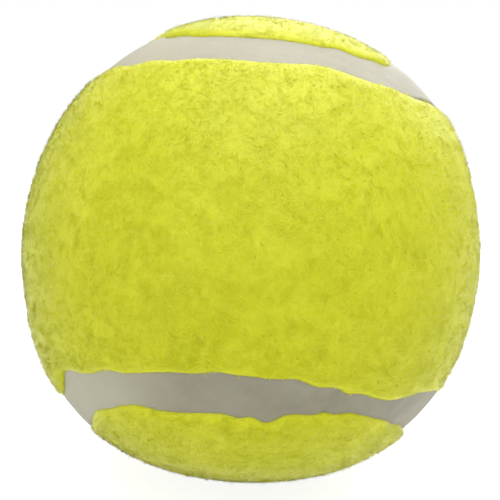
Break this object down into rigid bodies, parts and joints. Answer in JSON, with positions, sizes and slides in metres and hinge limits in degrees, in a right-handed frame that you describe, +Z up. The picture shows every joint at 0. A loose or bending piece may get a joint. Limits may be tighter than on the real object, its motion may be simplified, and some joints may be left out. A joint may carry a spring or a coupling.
{
  "type": "tennis ball",
  "caption": "Felt-covered hollow rubber ball with dumbbell felt panels and a recessed rubber seam, for racket games and play.",
  "frame": {"origin": "centre of the ball", "axes": "+Z up as the ball lies in the picture, -Y towards the viewer, +X to the viewer's right"},
  "size_m": [0.066, 0.066, 0.066],
  "materials": {
    "core_rubber": "matt moulded rubber",
    "joint_cement": "matt rubber cement",
    "rubber_solution": "thin satin coat",
    "felt_ground": "woven cotton ground",
    "felt_pile": "raised wool and nylon pile",
    "seam_rubber": "matt vulcanised seam compound"
  },
  "bodies": {
    "root": {"core_half_lower": "core_rubber", "core_half_upper": "core_rubber", "core_joint_cement": "joint_cement", "core_solution_coat": "rubber_solution", "felt_front_backing": "rubber_solution", "felt_rear_backing": "rubber_solution", "felt_front_ground": "felt_ground", "felt_rear_ground": "felt_ground", "felt_front_pile": "felt_pile", "felt_rear_pile": "felt_pile", "seam_rubber": "seam_rubber"}
  },
  "joints": []
}
